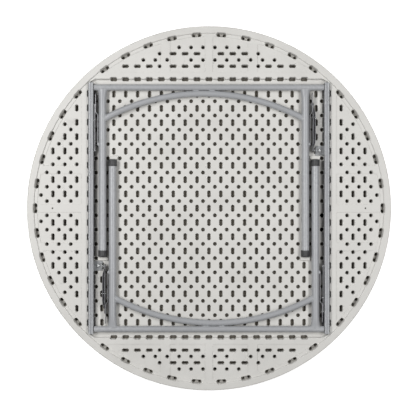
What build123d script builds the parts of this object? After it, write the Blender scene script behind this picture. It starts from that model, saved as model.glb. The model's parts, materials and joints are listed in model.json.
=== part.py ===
from build123d import *
import os
from math import atan2, cos, degrees, hypot, radians, sin, sqrt

# Round folding banquet table with a blow-moulded top, lying face down with both leg frames folded.
# Millimetres. The origin is the centre of the table face, which lies on Z = 0, and +Z points out of
# the underside. The rails run along Y at the left (-X) and right (+X). The rear leg frame turns on
# a tube at +Y and the front one at -Y, and each folds towards the other end between the rails.

# ---------------------------------------------------------------- table top
top_radius = 762.0  # 60 inch round top
rim_height = 45.0  # face to the crest of the rim
face_edge_radius = 8.0  # rounding round the face
rim_edge_radius = 5.0  # rounding on the outer edge of the crest
lip_width = 30.0  # flat crest of the rim
panel_height = 39.0  # moulded bands between the sunk panels
panel_sink = 2.5  # sunk panels below the bands
skin = 3.0  # wall of the hollow moulding
rim_wall = 5.0  # wall at the rim, where the mould closes
floor_height = 22.0  # floor of the bay that holds the leg frames
bay_clearance = 3.0  # rail to the side of the bay
bay_end_gap = 17.0  # rail end to the end of the bay
bay_chamfer_x = 28.0
bay_chamfer_y = 17.0
band_width = 28.5  # raised band round the bay

pitch_x = 50.0  # spacing of the tack-off dimples
pitch_y = 60.0
dimple_radius = 8.0  # single dimple
pair_radius = 7.4  # each half of a double dimple
pair_spread = 14.2  # between the centres of its halves
dimple_floor = 5.0  # bottom of every dimple above the face
pattern_margin = 67.5  # no dimple centre comes nearer to the rim's outside
rim_slot_length = 42.0
rim_slot_width = 16.5
rim_slot_inset = 35.0  # slot centre line to the rim's outside
rim_slot_step = 8.2  # degrees between slots
rim_slot_groups = {0: 11, 90: 10, 180: 11, 270: 10}  # slots about each quarter of the rim
side_row = 30.0  # first row of single dimples beside the bay
centre_band = 34.0  # bands across the side panels
outer_band = 34.0
outer_band_at = 161.0
end_centre_band = 32.0  # bands across the end panels
end_outer_band = 40.0
end_outer_band_at = 183.0
end_row = 54.0  # bay end to the first row of the end panels
end_row_step = 26.4
vent_at = 655.0  # blow-pin holes
vent_radius = 3.5
badge_x = 127.0  # plain round pads on the end panels
badge_row = 78.94  # bay end to the pads' middle
badge_radius = 26.0
badge_height = 1.2
stop_length = 44.0  # moulded stops beyond the feet
stop_depth = 14.8
stop_height = 9.0
stop_gap = 2.2

# ---------------------------------------------------------------- rails
rail_outer = 502.0  # outside of each rail from the centre line
rail_width = 20.0
rail_height = 36.0
rail_wall = 1.5
rail_bend = 3.0
rail_end_clear = 36.3  # rail's outer corner to the rim's outside
pocket_length = 42.0  # moulded pockets under the rails
pocket_reach = 4.5  # pocket past the rail's inner side
screw_radius = 2.4
screw_head_radius = 5.5
screw_head = 2.2
screw_depth = 12.0
screw_clearance = 0.1
boss_wall = 4.5
rail_screw_at = (-450.0, -150.0, 150.0, 450.0)

# ---------------------------------------------------------------- leg frames
hinge_inset = 19.0  # hinge axis to the rail's end
hinge_height = 42.0  # hinge axis above the face
hinge_radius = 12.7
hinge_wall = 1.4
hinge_end_gap = 1.5  # tube end to the rail's outer wall
leg_radius = 15.9
leg_wall = 1.4
leg_length = 708.0  # hinge axis to the sole of the foot
leg_half_pitch = 424.0  # half the distance between a frame's legs
leg_offset = 21.0  # each frame sits this far off centre, so that the two nest
weld_gap = 0.05
foot_radius = 18.5
foot_length = 27.0
foot_sole = 5.0
foot_clearance = 0.1
arch_radius = 12.7
arch_wall = 1.4
arch_foot = 126.0  # hinge axis to where the arch meets the legs
arch_apex_gap = 0.3  # arch to hinge tube at the crown
bush_clearance = 0.05  # running fit on the hinge tube
bush_wall = 1.4
bush_flange = 15.4
bush_flange_thickness = 1.5
bush_seat = 0.1

# ---------------------------------------------------------------- folding braces
rail_pivot = 263.0  # hinge axis to the brace's pivot on the rail
leg_pivot = 238.0  # hinge axis to its pivot on the leg
bar_width = 18.0
bar_thickness = 2.5
tail_length = 51.0  # lower link past the middle pivot
joggle_start = 30.0  # bend in the lower link, from the middle pivot
joggle_end = 42.0
pivot_radius = 3.0
pivot_clearance = 0.05
rivet_head_radius = 6.0
rivet_head = 2.0
face_gap = 0.3  # between pieces that turn on each other
upper_offset = 29.9  # upper link's inner face from the leg's axis
link_gap = 1.65  # leg's side to the lower link's inner face
tab_radius = 9.0
bracket_offset = 43.0  # bracket's ear from the leg's axis
bracket_thickness = 2.0
bracket_width = 41.0
bracket_ear_width = 26.0
bracket_top = 54.0
ring_wire = 1.75  # radius of the lock ring's wire
ring_clearance = 0.4
ring_corner = 1.0
ring_park = {"rear_right": 55.0, "rear_left": 64.0, "front_left": 76.0, "front_right": 60.0}

# ---------------------------------------------------------------- worked out from those
lip_inner = top_radius - lip_width
rail_inner = rail_outer - rail_width
rail_middle = rail_outer - rail_width / 2
rail_half = sqrt((top_radius - rail_end_clear) ** 2 - rail_outer**2)
hinge_y = rail_half - hinge_inset
bay_x = rail_outer + bay_clearance
bay_y = rail_half + bay_end_gap
badge_y = bay_y + badge_row
rail_top = floor_height + rail_height
dimple_limit = top_radius - pattern_margin
brace_reach = hypot(rail_pivot, leg_pivot)
middle_pivot = (rail_pivot + leg_pivot - brace_reach) / 2  # hinge axis to the folded middle pivot
lower_offset = leg_radius + link_gap  # leg's axis to the lower link's inner face
above = 20.0  # cutters run this far past the surface they open
LOW = (Align.CENTER, Align.CENTER, Align.MIN)

# Each leg frame: the end it hinges at, and the centre line between its legs.
frames = {"rear": (1, -leg_offset), "front": (-1, leg_offset)}
sides = {"left": -1, "right": 1}

os.makedirs("parts", exist_ok=True)


def save(name, shape):
    shape.label = name
    export_step(shape, f"parts/{name}.step")


def post(x, y, radius, low, high):
    """Upright cylinder."""
    return Pos(x, y, low) * Cylinder(radius, high - low, align=LOW)


def cross_pin(y, z, radius, x_start, x_end):
    """Cylinder along X between two places, given in either order."""
    middle = (x_start + x_end) / 2
    return Pos(middle, y, z) * Rot(0, 90, 0) * Cylinder(radius, abs(x_end - x_start))


def length_pin(x, z, radius, y_start, y_end):
    """Cylinder along Y between two places."""
    middle = (y_start + y_end) / 2
    return Pos(x, middle, z) * Rot(90, 0, 0) * Cylinder(radius, abs(y_end - y_start))


def block(x_start, x_end, y_start, y_end, low, high):
    """Box between two corners, given in any order."""
    size = (abs(x_end - x_start), abs(y_end - y_start), high - low)
    return Pos((x_start + x_end) / 2, (y_start + y_end) / 2, low) * Box(*size, align=LOW)


def slab(outline, low, high):
    """Flat outline raised between two heights."""
    return Pos(0, 0, low) * extrude(outline, high - low)


# ---------------------------------------------------------------- table top
def bay_outline(grow=0.0):
    """Rectangle with cut corners that holds the leg frames."""
    x = bay_x + grow
    y = bay_y + grow
    corner_x = x - bay_chamfer_x
    corner_y = y - bay_chamfer_y
    quarter = [(x, corner_y), (corner_x, y)]
    points = quarter + [(-px, py) for px, py in reversed(quarter)]
    points += [(-px, -py) for px, py in points]
    return make_face(Polyline(*points, close=True))


def panel_outline():
    """Sunk panels between the bay's band and the rim, split by raised bands."""
    outline = Circle(lip_inner - 14) - Rectangle(2 * (bay_x + band_width), 2 * (bay_y + band_width))
    outline -= Rectangle(2 * top_radius, centre_band)
    outline -= Rectangle(end_centre_band, 2 * top_radius)
    for sign in (-1, 1):
        outline -= Pos(0, sign * outer_band_at) * Rectangle(2 * top_radius, outer_band)
        outline -= Pos(sign * end_outer_band_at, 0) * Rectangle(end_outer_band, 2 * top_radius)
    return outline


def grid(step, count, start=0.0):
    """Places on both sides of zero: start, start + step and so on."""
    places = [start + step * k for k in range(count)]
    return sorted({sign * place for place in places for sign in (-1, 1)})


def in_pattern(x, y):
    return hypot(x, y) <= dimple_limit


def dimple_places():
    """Every dimple as (kind, x, y): single, tall for a pair along Y, or wide for a pair along X."""
    columns = int(rail_inner // pitch_x)
    rows = int((hinge_y - pitch_y / 4) // pitch_y)
    places = [("tall", x, y) for x in grid(pitch_x, columns + 1) for y in grid(pitch_y, rows + 1)]
    half_x = grid(pitch_x, columns + 1, pitch_x / 2)
    half_y = grid(pitch_y, rows + 1, pitch_y / 2)
    places += [("single", x, y) for x in half_x for y in half_y]
    places += [("wide", x, y) for x in grid(pitch_x, columns) for y in (-bay_y, bay_y)]
    places += side_panel_places()
    places += end_panel_places()
    return places


def side_panel_places():
    """Dimples between the bay and the rim at the left and right."""
    places = []
    first = pitch_x * (int(bay_x // pitch_x) + 1)
    band_edge = outer_band_at + outer_band / 2
    count = int(top_radius // pitch_y)
    for x in grid(pitch_x, 4, first):
        for y in grid(pitch_y, count, pitch_y):
            if not in_pattern(x, y):
                continue
            if abs(abs(y) - band_edge) < pair_spread:
                places.append(("single", x, (band_edge + 6) * (1 if y > 0 else -1)))
            else:
                places.append(("tall", x, y))
    for x in grid(pitch_x, 4, first + pitch_x / 2):
        for y in grid(pitch_y, count, side_row):
            if in_pattern(x, y):
                places.append(("single", x, y))
    for x in (-first - pitch_x, first + pitch_x):
        for y in (-1, 1):
            edge = sqrt(dimple_limit**2 - x**2)
            places.append(("single", x, y * (edge + 3)))
    for x in grid(1, 1, dimple_limit + 5.5):
        for y in grid(1, 1, pitch_y - 5):
            places.append(("single", x, y))
    return places


def end_panel_places():
    """Dimples between the bay and the rim at both ends."""
    places = []
    first = bay_y + end_row
    band_edge = end_outer_band_at + end_outer_band / 2
    for row in range(6):
        y = first + row * end_row_step
        if row % 2 == 0:
            for x in grid(pitch_x, 12, pitch_x):
                if not in_pattern(x, y):
                    continue
                if abs(abs(x) - band_edge) < pair_spread:
                    x = (band_edge + 4) * (1 if x > 0 else -1)
                    places += [("single", x, y), ("single", x, -y)]
                else:
                    places += [("wide", x, y), ("wide", x, -y)]
        else:
            for x in grid(pitch_x, 12, pitch_x / 2):
                if in_pattern(x, y):
                    places += [("single", x, y), ("single", x, -y)]
    return [place for place in places if not under_badge(*place)]


def under_badge(kind, x, y):
    near = [hypot(x + sign * badge_x, y - sign * badge_y) for sign in (-1, 1)]
    return kind == "single" and min(near) < badge_radius - dimple_radius


def dimple_outlines(grow=0.0):
    """Outline of each kind of dimple about its own centre."""
    half = pair_spread / 2
    pair = Circle(pair_radius + grow)
    return {
        "single": Circle(dimple_radius + grow),
        "tall": Pos(0, half) * pair + Pos(0, -half) * pair,
        "wide": Pos(half, 0) * pair + Pos(-half, 0) * pair,
    }


def dimple_posts(low, high, grow=0.0):
    """The dimples as solids, or with grow the plastic columns round them."""
    stock = {kind: slab(face, low, high) for kind, face in dimple_outlines(grow).items()}
    blocked = stop_places()
    posts = []
    for kind, x, y in dimple_places():
        if all(abs(x - sx) > stop_length / 2 or abs(y - sy) > stop_depth / 2 for sx, sy in blocked):
            posts.append(Pos(x, y, 0) * stock[kind])
    slot = slab(SlotOverall(rim_slot_length + 2 * grow, rim_slot_width + 2 * grow), low, high)
    slot = Pos(top_radius - rim_slot_inset, 0, 0) * Rot(0, 0, 90) * slot
    for centre, count in rim_slot_groups.items():
        for k in range(count):
            posts.append(Rot(0, 0, centre + (k - (count - 1) / 2) * rim_slot_step) * slot)
    pocket_in = rail_inner - pocket_reach - grow
    pocket_out = bay_x - bay_clearance + grow
    half = pocket_length / 2 + grow
    rows = int((hinge_y - pitch_y / 4) // pitch_y)
    for side in sides.values():
        for y in grid(pitch_y, rows + 1):
            posts.append(block(side * pocket_in, side * pocket_out, y - half, y + half, low, high))
            posts.append(Pos(side * (rail_outer - 1.5), y, 0) * stock["tall"])
    return posts


def stop_places():
    """Centres of the moulded stops, one beyond each foot."""
    places = []
    for end, centre in frames.values():
        for side in sides.values():
            y = end * (hinge_y - leg_length - stop_gap - stop_depth / 2)
            places.append((centre + side * leg_half_pitch, y))
    return places


def screw_places():
    """Every screw that runs into the top: the rails' and the two brackets'."""
    places = [(side * rail_middle, y) for side in sides.values() for y in rail_screw_at]
    return places + bracket_screw_places()


def bracket_screw_places():
    places = []
    for end, centre, side in wide_corners():
        ear = centre + side * (leg_half_pitch + bracket_offset)
        places.append(((ear + side * rail_inner) / 2, end * (hinge_y - rail_pivot)))
    return places


def wide_corners():
    """The two corners where the leg stands well in from the rail."""
    return [
        (end, centre, side)
        for end, centre in frames.values()
        for side in sides.values()
        if centre * side < 0
    ]


def hollow():
    """Space inside the moulding, with a column left round every dimple and screw."""
    ceiling = panel_height - panel_sink - skin
    space = post(0, 0, top_radius - rim_wall, skin, ceiling)
    crest = post(0, 0, top_radius - rim_wall, ceiling, rim_height - skin)
    space += crest - post(0, 0, lip_inner + skin, ceiling - 1, rim_height)
    space -= slab(bay_outline(skin), floor_height - skin, rim_height)
    columns = dimple_posts(0, rim_height, skin - 0.5)
    columns += [post(x, y, screw_radius + boss_wall, 0, rim_height) for x, y in screw_places()]
    return space - columns


def table_top():
    top = post(0, 0, top_radius, 0, rim_height)
    rims = top.edges().filter_by(GeomType.CIRCLE).sort_by(Axis.Z)
    top = fillet(rims[0], face_edge_radius)
    rims = top.edges().filter_by(GeomType.CIRCLE).sort_by(Axis.Z)
    top = fillet(rims[-1], rim_edge_radius)
    top -= post(0, 0, lip_inner, panel_height, rim_height + above)
    top -= slab(bay_outline(), floor_height, rim_height + above)
    top -= slab(panel_outline(), panel_height - panel_sink, rim_height)
    for x, y in stop_places():
        half = stop_length / 2
        deep = stop_depth / 2
        top += block(x - half, x + half, y - deep, y + deep, floor_height, floor_height + stop_height)
    cutters = dimple_posts(dimple_floor, rim_height + above)
    radius = screw_radius + screw_clearance
    low = floor_height - screw_depth
    cutters += [post(x, y, radius, low, rim_height) for x, y in screw_places()]
    cutters += [post(side * vent_at, 0, vent_radius, skin * 2, rim_height + 1) for side in (-1, 1)]
    top = top - hollow()
    top = top - cutters
    base = panel_height - panel_sink - 1
    for sign in (-1, 1):
        top += post(-sign * badge_x, sign * badge_y, badge_radius, base, panel_height - panel_sink + badge_height)
    return top


# ---------------------------------------------------------------- rails
def rail(side):
    """Roll-formed steel channel, open towards the top, drilled for what it carries."""
    outside = Rectangle(rail_width, rail_height)
    outside = fillet(outside.vertices().group_by(Axis.Y)[-1], rail_bend)
    inside = Pos(0, -rail_wall) * Rectangle(rail_width - 2 * rail_wall, rail_height)
    inside = fillet(inside.vertices().group_by(Axis.Y)[-1], rail_bend - rail_wall)
    section = Rot(90, 0, 0) * (outside - inside)
    middle = floor_height + rail_height / 2
    channel = Pos(side * rail_middle, 0, middle) * extrude(section, rail_half, both=True)
    inner = side * (rail_inner - 1)
    past_wall = side * (rail_inner + rail_wall + 2)
    bush_hole = hinge_radius + bush_clearance + bush_wall + bush_seat
    for end, centre in frames.values():
        channel -= cross_pin(end * hinge_y, hinge_height, bush_hole, inner, past_wall)
        if centre * side > 0:
            pivot_y = end * (hinge_y - rail_pivot)
            hole = pivot_radius + pivot_clearance
            channel -= cross_pin(pivot_y, hinge_height, hole, inner, past_wall)
    for y in rail_screw_at:
        channel -= post(side * rail_middle, y, screw_radius + screw_clearance, rail_top - 5, rail_top + 1)
    return channel


def screw(x, y, seat):
    """Pan-head screw from its seat down into the top."""
    head = post(x, y, screw_head_radius, seat, seat + screw_head)
    head = fillet(head.edges().sort_by(Axis.Z)[-1], screw_head * 0.6)
    return head + post(x, y, screw_radius, floor_height - screw_depth + 1, seat + 0.5)


def bush(side, end):
    """Flanged plastic bush between the hinge tube and the rail."""
    bore = hinge_radius + bush_clearance
    face = side * rail_inner
    y = end * hinge_y
    sleeve = cross_pin(y, hinge_height, bore + bush_wall, face, face + side * (rail_wall + 2))
    flange = cross_pin(y, hinge_height, bush_flange, face, face - side * bush_flange_thickness)
    return sleeve + flange - cross_pin(y, hinge_height, bore, face - side * 9, face + side * 9)


def bracket(end, centre, side):
    """Steel bracket screwed to the bay's floor against the rail, with an ear for the brace."""
    ear = centre + side * (leg_half_pitch + bracket_offset)
    rail_face = side * rail_inner
    y = end * (hinge_y - rail_pivot)
    half = bracket_width / 2
    low = floor_height
    foot = block(ear, rail_face, y - half, y + half, low, low + bracket_thickness)
    wall = block(rail_face - side * bracket_thickness, rail_face, y - half, y + half, low, bracket_top)
    half = bracket_ear_width / 2
    ear_plate = block(ear, ear + side * bracket_thickness, y - half, y + half, low, bracket_top)
    edges = ear_plate.edges().filter_by(Axis.X).group_by(Axis.Z)[-1]
    ear_plate = fillet(edges, bracket_ear_width * 0.4)
    plate = foot + wall + ear_plate
    plate -= cross_pin(y, hinge_height, pivot_radius + pivot_clearance, ear - side, ear + side * 5)
    for x, screw_y in bracket_screw_places():
        plate -= post(x, screw_y, screw_radius + screw_clearance, low - 1, low + bracket_thickness + 1)
    return plate


# ---------------------------------------------------------------- leg frames
def hinge_tube(end):
    half = rail_outer - rail_wall - hinge_end_gap
    tube = cross_pin(end * hinge_y, hinge_height, hinge_radius, -half, half)
    return tube - cross_pin(end * hinge_y, hinge_height, hinge_radius - hinge_wall, -half - 1, half + 1)


def leg(end, x):
    """Straight leg tube, notched to sit round the hinge tube."""
    start = end * hinge_y
    stop = end * (hinge_y - leg_length + foot_sole)
    tube = length_pin(x, hinge_height, leg_radius, start, stop)
    tube -= length_pin(x, hinge_height, leg_radius - leg_wall, start + end, stop - end)
    notch = hinge_radius + weld_gap
    return tube - cross_pin(start, hinge_height, notch, x - 2 * leg_radius, x + 2 * leg_radius)


def foot(end, x):
    """Plastic cap over the end of a leg."""
    sole = end * (hinge_y - leg_length)
    mouth = sole + end * foot_length
    cap = length_pin(x, hinge_height, foot_radius, sole, mouth)
    cap = fillet(cap.edges().filter_by(GeomType.CIRCLE), 2.0)
    bore = length_pin(x, hinge_height, leg_radius + foot_clearance, sole + end * foot_sole, mouth + end)
    return cap - bore


def arch(end, centre):
    """Bowed tube that stiffens the frame, from leg to leg by way of the hinge tube."""
    crown = hinge_y - hinge_radius - arch_radius - arch_apex_gap
    foot_y = hinge_y - arch_foot
    rise = crown - foot_y
    span = leg_half_pitch - leg_radius
    bow = (span**2 + rise**2) / (2 * rise)
    pivot_y = crown - bow
    half_turn = degrees(atan2(leg_half_pitch - 4, sqrt(bow**2 - (leg_half_pitch - 4) ** 2)))
    ring = Circle(arch_radius) - Circle(arch_radius - arch_wall)
    section = Rot(0, 0, 90 - half_turn) * Pos(bow, 0, 0) * Rot(90, 0, 0) * ring
    tube = revolve(section, Axis.Z, 2 * half_turn)
    tube = Pos(0, pivot_y, 0) * tube
    if end < 0:
        tube = Rot(0, 0, 180) * tube
    tube = Pos(centre, 0, hinge_height) * tube
    for side in sides.values():
        x = centre + side * leg_half_pitch
        reach = 2 * arch_foot
        tube -= length_pin(x, hinge_height, leg_radius + weld_gap, 0, end * (hinge_y - reach / 8))
    return tube


# ---------------------------------------------------------------- folding braces
def brace_place(end, x, side):
    """Turn a distance out from the leg and a distance from the hinge axis into X and Y."""

    def out(offset):
        return x + side * offset

    def along(distance):
        return end * (hinge_y - distance)

    return out, along


def bar_mask(y_start, y_end):
    """Bar seen from the side: straight, with rounded ends that pass the two pivots."""
    length = abs(y_end - y_start)
    flat = Plane.YZ * SlotCenterToCenter(length, bar_width)
    return Pos(0, (y_start + y_end) / 2, hinge_height) * extrude(flat, top_radius, both=True)


def pivot_hole(y, out):
    return cross_pin(y, hinge_height, pivot_radius + pivot_clearance, out(0), out(60))


def upper_link(out, along):
    plan = (out(upper_offset), out(upper_offset + bar_thickness))
    half = bar_width / 2
    y_middle = along(middle_pivot)
    y_rail = along(rail_pivot)
    low = min(y_middle, y_rail) - half
    high = max(y_middle, y_rail) + half
    plate = block(*plan, low, high, hinge_height - half, hinge_height + half)
    plate = plate & bar_mask(y_middle, y_rail)
    return plate - pivot_hole(y_middle, out) - pivot_hole(y_rail, out)


def lower_link(out, along):
    """Lower link: its tail and middle lie beside the upper link, then it steps in to the leg."""
    half = bar_width / 2
    near = upper_offset - face_gap - bar_thickness
    tail = middle_pivot - tail_length
    tip = leg_pivot + half
    step_a = middle_pivot + joggle_start
    step_b = middle_pivot + joggle_end
    inner = [(near, tail), (near, step_a), (lower_offset, step_b), (lower_offset, tip)]
    outer = [(offset + bar_thickness, distance) for offset, distance in reversed(inner)]
    points = [(out(offset), along(distance)) for offset, distance in inner + outer]
    strip = slab(make_face(Polyline(*points, close=True)), hinge_height - half, hinge_height + half)
    strip = strip & bar_mask(along(tail + half), along(leg_pivot))
    return strip - pivot_hole(along(middle_pivot), out) - pivot_hole(along(leg_pivot), out)


def rail_rivet(out, along, seat):
    """Shouldered rivet that the upper link turns on, closed behind the plate at seat."""
    y = along(rail_pivot)
    inner = upper_offset - face_gap
    outer = upper_offset + bar_thickness + face_gap
    rivet = cross_pin(y, hinge_height, rivet_head_radius, out(inner - rivet_head), out(inner))
    rivet += cross_pin(y, hinge_height, pivot_radius, out(inner - 1), out(seat + 3.2))
    rivet += cross_pin(y, hinge_height, rivet_head_radius, out(outer), out(seat))
    tail = seat + (rail_wall if seat < bracket_offset else bracket_thickness)
    return rivet + cross_pin(y, hinge_height, rivet_head_radius - 1, out(tail), out(tail + 1.5))


def middle_rivet(out, along):
    y = along(middle_pivot)
    outer = upper_offset + bar_thickness
    inner = upper_offset - 2 * face_gap - bar_thickness
    rivet = cross_pin(y, hinge_height, rivet_head_radius, out(outer), out(outer + rivet_head))
    rivet += cross_pin(y, hinge_height, pivot_radius, out(inner - 1), out(outer + 1))
    return rivet + cross_pin(y, hinge_height, rivet_head_radius, out(inner - rivet_head), out(inner))


def leg_rivet(out, along):
    """Rivet at the leg, carried by the lower link and ending just short of the leg's tab."""
    y = along(leg_pivot)
    outer = lower_offset + bar_thickness
    rivet = cross_pin(y, hinge_height, rivet_head_radius, out(outer), out(outer + rivet_head))
    return rivet + cross_pin(y, hinge_height, pivot_radius, out(lower_offset), out(outer + 1))


def leg_tab(out, along, x):
    """Boss on the side of the leg that the lower link bears on."""
    y = along(leg_pivot)
    boss = cross_pin(y, hinge_height, tab_radius, out(0), out(lower_offset - face_gap))
    return boss - length_pin(x, hinge_height, leg_radius + weld_gap, y - 30, y + 30)


def lock_ring(out, along, park):
    """Wire loop that slides along the upper link and holds the opened brace straight."""
    y = along(middle_pivot + park)
    inner = upper_offset - face_gap - bar_thickness - ring_clearance - ring_wire
    outer = upper_offset + bar_thickness + ring_clearance + ring_wire
    half = bar_width / 2 + ring_clearance + ring_wire
    loop = RectangleRounded(outer - inner, 2 * half, ring_corner + ring_wire)
    wire = Circle(ring_wire)
    middle = (out(inner) + out(outer)) / 2
    path = loop.wire()
    start = path @ 0
    tangent = path % 0
    ring = sweep(Plane(origin=start, z_dir=tangent) * wire, path, transition=Transition.RIGHT)
    return Pos(middle, y, hinge_height) * Rot(90, 0, 0) * ring


# ---------------------------------------------------------------- build
save("table_top", table_top())
for side_name, side in sides.items():
    save(f"rail_{side_name}", rail(side))
rail_screws = [screw(s * rail_middle, y, rail_top) for s in sides.values() for y in rail_screw_at]
save("rail_screws", Compound(children=rail_screws))
bracket_seat = floor_height + bracket_thickness
bracket_screws = [screw(x, y, bracket_seat) for x, y in bracket_screw_places()]
save("bracket_screws", Compound(children=bracket_screws))
bushes = [bush(side, end) for side in sides.values() for end, centre in frames.values()]
save("hinge_bushes", Compound(children=bushes))

for frame_name, (end, centre) in frames.items():
    save(f"{frame_name}_hinge_tube", hinge_tube(end))
    save(f"{frame_name}_arch_tube", arch(end, centre))
    for side_name, side in sides.items():
        corner = f"{frame_name}_{side_name}"
        x = centre + side * leg_half_pitch
        out, along = brace_place(end, x, side)
        save(f"{corner}_leg", leg(end, x))
        save(f"{corner}_foot", foot(end, x))
        save(f"{corner}_leg_tab", leg_tab(out, along, x))
        save(f"{corner}_upper_link", upper_link(out, along))
        save(f"{corner}_lower_link", lower_link(out, along))
        save(f"{corner}_middle_rivet", middle_rivet(out, along))
        save(f"{corner}_leg_rivet", leg_rivet(out, along))
        save(f"{corner}_lock_ring", lock_ring(out, along, ring_park[corner]))
        wide = centre * side < 0
        seat = bracket_offset if wide else side * (side * rail_inner - x)
        save(f"{corner}_rail_rivet", rail_rivet(out, along, seat))
        if wide:
            save(f"{corner}_bracket", bracket(end, centre, side))
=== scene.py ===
import json
import math

import bmesh
import bpy
from mathutils import Matrix, Vector


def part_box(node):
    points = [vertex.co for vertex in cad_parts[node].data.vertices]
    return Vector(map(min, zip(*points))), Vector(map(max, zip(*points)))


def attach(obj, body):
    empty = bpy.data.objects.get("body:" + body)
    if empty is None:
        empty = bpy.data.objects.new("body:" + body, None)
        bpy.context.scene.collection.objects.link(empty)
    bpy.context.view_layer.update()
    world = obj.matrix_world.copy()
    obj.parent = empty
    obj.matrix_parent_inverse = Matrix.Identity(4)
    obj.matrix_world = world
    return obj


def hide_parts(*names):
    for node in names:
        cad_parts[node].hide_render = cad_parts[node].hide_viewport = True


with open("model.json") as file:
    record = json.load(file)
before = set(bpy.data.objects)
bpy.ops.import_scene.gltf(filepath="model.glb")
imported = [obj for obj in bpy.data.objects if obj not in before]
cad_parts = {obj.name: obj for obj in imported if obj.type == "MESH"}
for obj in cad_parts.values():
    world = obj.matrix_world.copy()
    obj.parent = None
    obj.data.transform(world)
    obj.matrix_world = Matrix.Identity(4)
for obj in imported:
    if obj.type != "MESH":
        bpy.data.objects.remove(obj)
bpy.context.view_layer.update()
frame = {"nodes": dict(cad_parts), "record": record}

# Round folding table, face down, with both leg frames folded into the bay of its underside.
# Sizes are in metres. Places come from the frame's boxes, and the moulding's own pattern is below.
MM = 0.001
TAU = 2 * math.pi

# ---------------------------------------------------------------- sizes of the moulding
face_rounding = 8 * MM
crest_rounding = 5 * MM
lip_width = 30 * MM
lip_step_rounding = 2.2 * MM
band_height = 39 * MM  # raised bands of the underside
panel_height = 36.5 * MM  # sunk panels between them
panel_edge = 0.5 * MM
panel_reach = 44 * MM  # rim's outside to the panels' outer edge
bay_floor = 22 * MM
bay_side_gap = 3 * MM  # rail to bay side
bay_end_gap = 17 * MM
bay_cut = (28 * MM, 17 * MM)  # cut corners of the bay
band_width = 28.5 * MM
pitch = (50 * MM, 60 * MM)
single_radius = 8.0 * MM
pair_radius = 7.4 * MM
pair_spread = 14.2 * MM
dimple_bottom = 5.2 * MM
dimple_draft = 0.055  # how much the wall leans in, per metre of depth
lip_flare = 1.5 * MM
pattern_margin = 67.5 * MM
slot_size = (42 * MM, 16.5 * MM)
slot_inset = 35 * MM
slot_step = math.radians(8.2)
slot_groups = ((0, 11), (90, 10), (180, 11), (270, 10))
cross_band = 17 * MM  # half width of the band across the side panels' middle
side_band = (144 * MM, 178 * MM)
end_cross_band = 16 * MM
end_band = (163 * MM, 203 * MM)
end_row = 54 * MM
end_row_step = 26.4 * MM
side_row = 30 * MM
side_shift = 4 * MM  # the side panels' columns against the bay's
notch_radius = 8.6 * MM
slot_saddle = 16.5 * MM  # height of the bridge in the middle of a rim slot
slot_end_radius = 6.4 * MM
vent_place = 655 * MM
vent_radius = 3.5 * MM
badge = (127 * MM, 620 * MM)
badge_radius = 26 * MM
badge_height = 37.7 * MM
stop_size = (44 * MM, 14.8 * MM)
stop_gap = 2.2 * MM
stop_height = 31 * MM
pocket_half = 21 * MM
pocket_reach = 4.5 * MM

# ---------------------------------------------------------------- places read from the frame
low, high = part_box("table_top")
top_radius = (high.x - low.x) / 2
rim_height = high.z
rail_low, rail_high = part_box("rail_right")
rail_inner, rail_outer = rail_low.x, rail_high.x
rail_half = rail_high.y
hinge_low, hinge_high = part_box("rear_hinge_tube")
hinge_y = (hinge_low.y + hinge_high.y) / 2
hinge_z = (hinge_low.z + hinge_high.z) / 2
hinge_radius = (hinge_high.z - hinge_low.z) / 2
bay_x = rail_outer + bay_side_gap
bay_y = rail_half + bay_end_gap
dimple_limit = top_radius - pattern_margin
frames = {"rear": 1, "front": -1}
sides = {"left": -1, "right": 1}
x_axis, y_axis, z_axis = Vector((1, 0, 0)), Vector((0, 1, 0)), Vector((0, 0, 1))


# ---------------------------------------------------------------- shader groups
def new_group(name, inputs, outputs):
    """An empty shader group with named sockets; each input gives its kind and starting value."""
    group = bpy.data.node_groups.new(name, "ShaderNodeTree")
    for label, kind, value in inputs:
        socket = group.interface.new_socket(name=label, in_out="INPUT", socket_type=kind)
        if value is not None:
            socket.default_value = value
    for label, kind in outputs:
        group.interface.new_socket(name=label, in_out="OUTPUT", socket_type=kind)
    nodes = group.nodes
    return group, nodes.new("NodeGroupInput"), nodes.new("NodeGroupOutput")


def math_node(tree, operation, first, second=None, clamp=False):
    node = tree.nodes.new("ShaderNodeMath")
    node.operation = operation
    node.use_clamp = clamp
    for socket, value in zip(node.inputs, (first, second)):
        if value is None:
            continue
        if isinstance(value, (int, float)):
            socket.default_value = value
        else:
            tree.links.new(value, socket)
    return node.outputs[0]


def noise_node(tree, place, scale, detail=2.0, rough=0.5):
    node = tree.nodes.new("ShaderNodeTexNoise")
    node.inputs["Detail"].default_value = detail
    node.inputs["Roughness"].default_value = rough
    tree.links.new(place, node.inputs["Vector"])
    if isinstance(scale, (int, float)):
        node.inputs["Scale"].default_value = scale
    else:
        tree.links.new(scale, node.inputs["Scale"])
    return node.outputs["Fac"]


def range_node(tree, value, start, stop, low_value=0.0, high_value=1.0):
    node = tree.nodes.new("ShaderNodeMapRange")
    tree.links.new(value, node.inputs["Value"])
    node.inputs["From Min"].default_value = start
    node.inputs["From Max"].default_value = stop
    node.inputs["To Min"].default_value = low_value
    node.inputs["To Max"].default_value = high_value
    return node.outputs["Result"]


def mix_colours(tree, factor, first, second):
    node = tree.nodes.new("ShaderNodeMix")
    node.data_type = "RGBA"
    tree.links.new(factor, node.inputs["Factor"])
    for socket, value in ((node.inputs["A"], first), (node.inputs["B"], second)):
        if isinstance(value, tuple):
            socket.default_value = (*value, 1.0)
        else:
            tree.links.new(value, socket)
    return node.outputs["Result"]


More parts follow.
